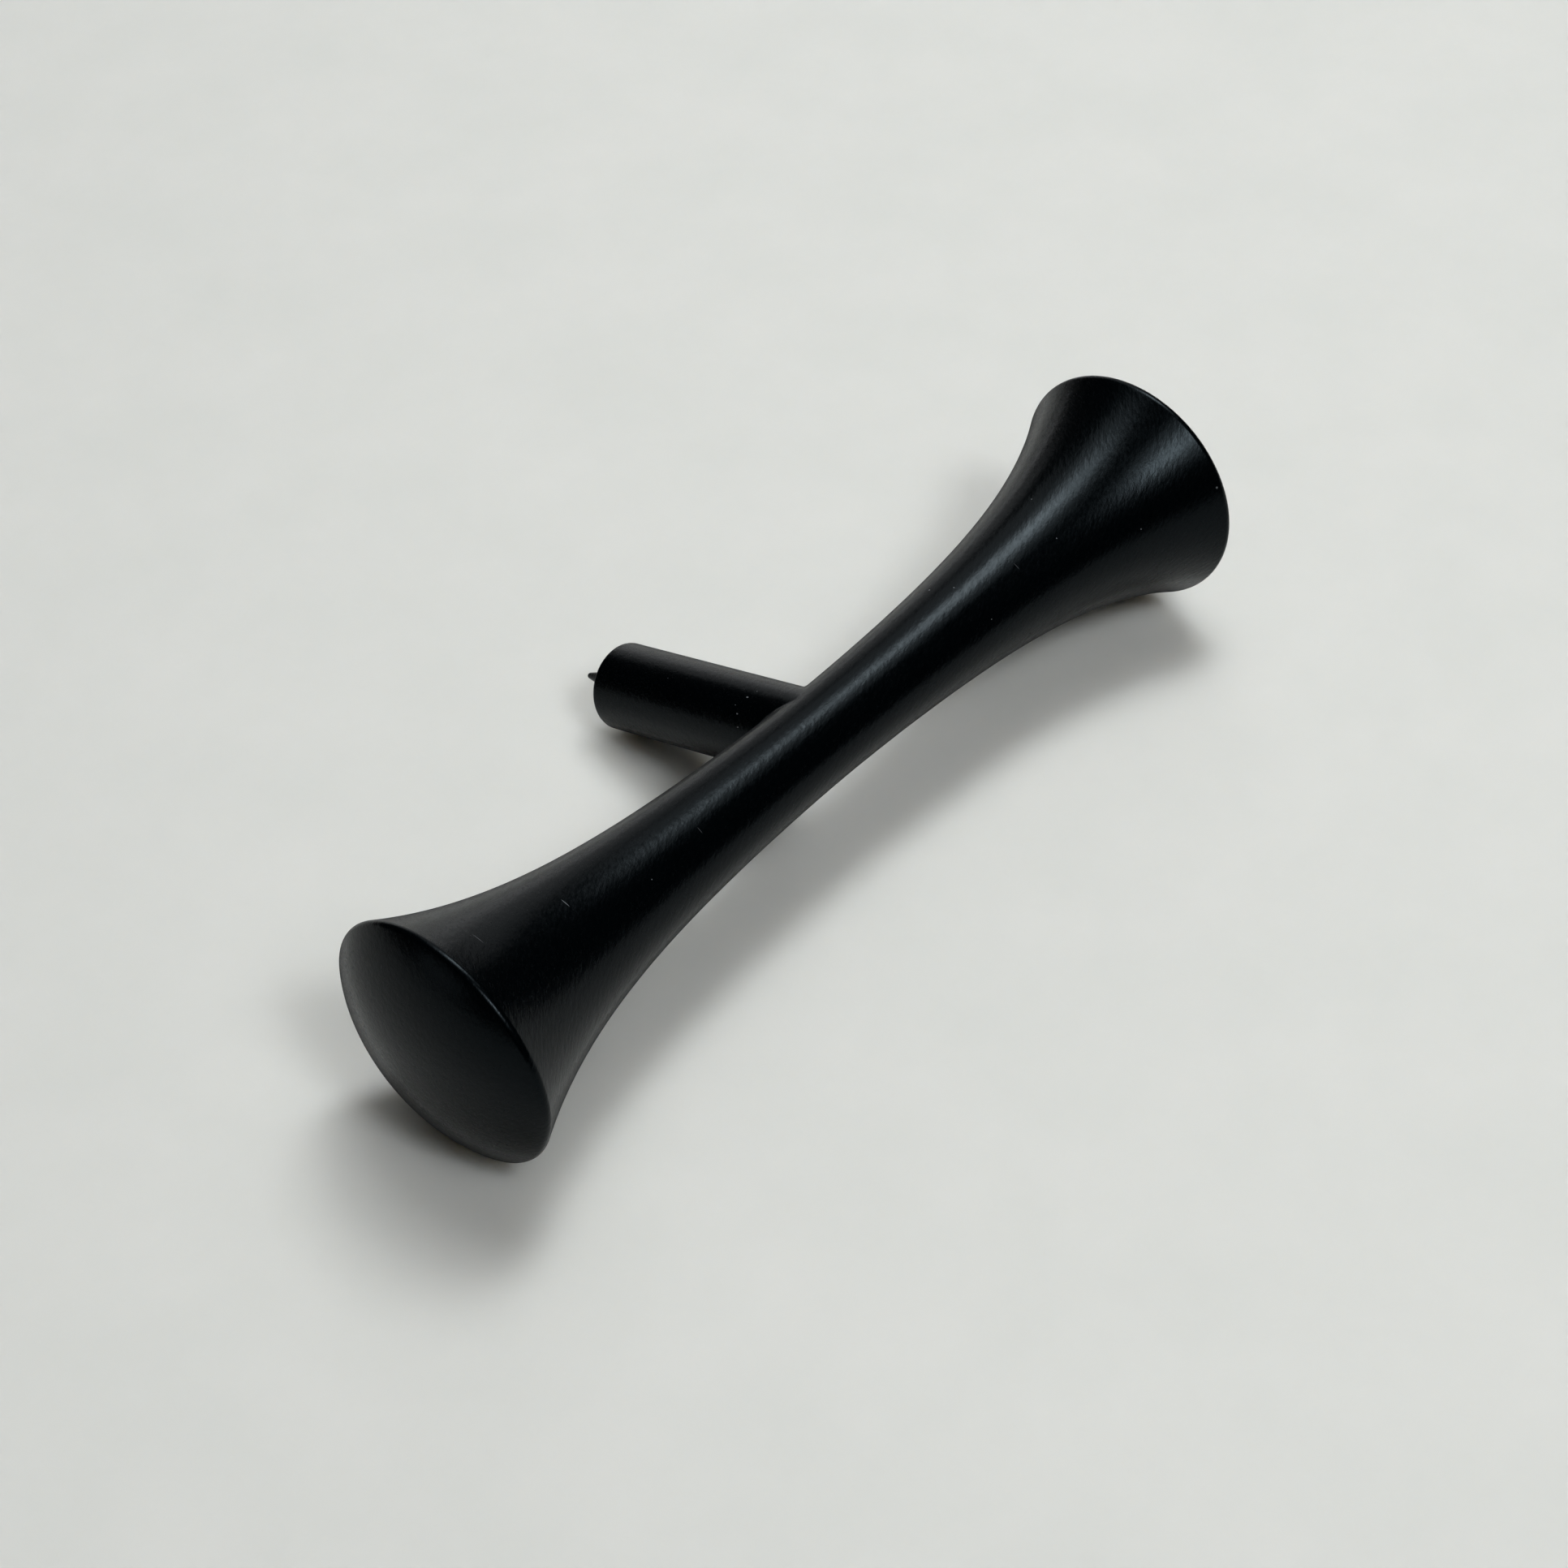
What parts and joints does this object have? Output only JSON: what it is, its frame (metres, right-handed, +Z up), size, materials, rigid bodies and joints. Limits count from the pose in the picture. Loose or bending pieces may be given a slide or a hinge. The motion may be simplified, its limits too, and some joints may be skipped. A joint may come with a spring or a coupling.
{
  "type": "cabinet knob",
  "caption": "Matte black T-bar cabinet knob: a double-flared handle bar with crowned ends on a plain round stem, with a threaded foot and a small anti-rotation spike.",
  "frame": {"origin": "centre of the base of the whole knob's box, on the plane it lies on", "axes": "+X along the handle bar, +Y to the side where the stem points, +Z up from the plane; the stem slopes down to the plane by 18.6 degrees"},
  "size_m": [0.1212, 0.0462, 0.0286],
  "materials": {
    "black_coat": "matte to satin black baked coat with a very fine texture",
    "plated_steel": "bright zinc-plated steel thread, hidden inside the knob"
  },
  "bodies": {
    "root": {"handle_bar": "black_coat", "stem": "black_coat", "anti_rotation_spike": "black_coat", "joining_stud": "plated_steel"}
  },
  "joints": []
}
